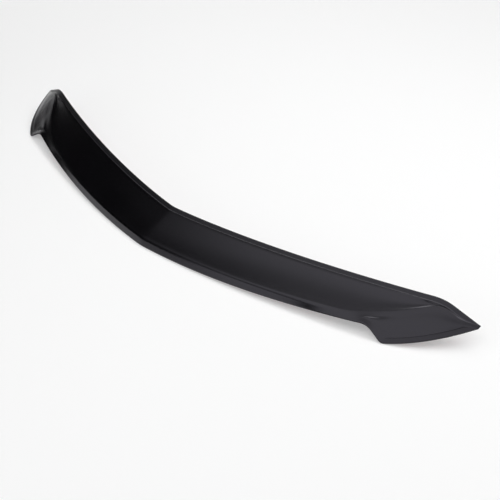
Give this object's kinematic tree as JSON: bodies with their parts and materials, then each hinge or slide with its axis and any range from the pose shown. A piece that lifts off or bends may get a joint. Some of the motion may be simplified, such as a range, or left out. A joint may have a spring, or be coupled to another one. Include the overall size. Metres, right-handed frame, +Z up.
{
  "type": "hood bug deflector",
  "caption": "Low-profile stick-on hood bug deflector in black acrylic: a shallow V strip with a nose crease, rimmed edges and flared wings, foam tape on its back.",
  "frame": {"origin": "middle of the footprint, on the floor that the shield rests on", "axes": "+X across the vehicle to the wing on the right as seen from in front of the nose, -Y out of the nose, +Z up"},
  "size_m": [1.346, 0.2456, 0.0677],
  "materials": {
    "acrylic": "satin black",
    "foam_tape": "matte foam",
    "liner": "smooth red film"
  },
  "bodies": {
    "root": {"shield": "acrylic", "tape_top_left": "foam_tape", "tape_top_right": "foam_tape", "tape_low_left": "foam_tape", "tape_low_right": "foam_tape", "tape_wing_left": "foam_tape", "tape_wing_right": "foam_tape", "liner_top_left": "liner", "liner_top_right": "liner", "liner_low_left": "liner", "liner_low_right": "liner", "liner_wing_left": "liner", "liner_wing_right": "liner"}
  },
  "joints": []
}
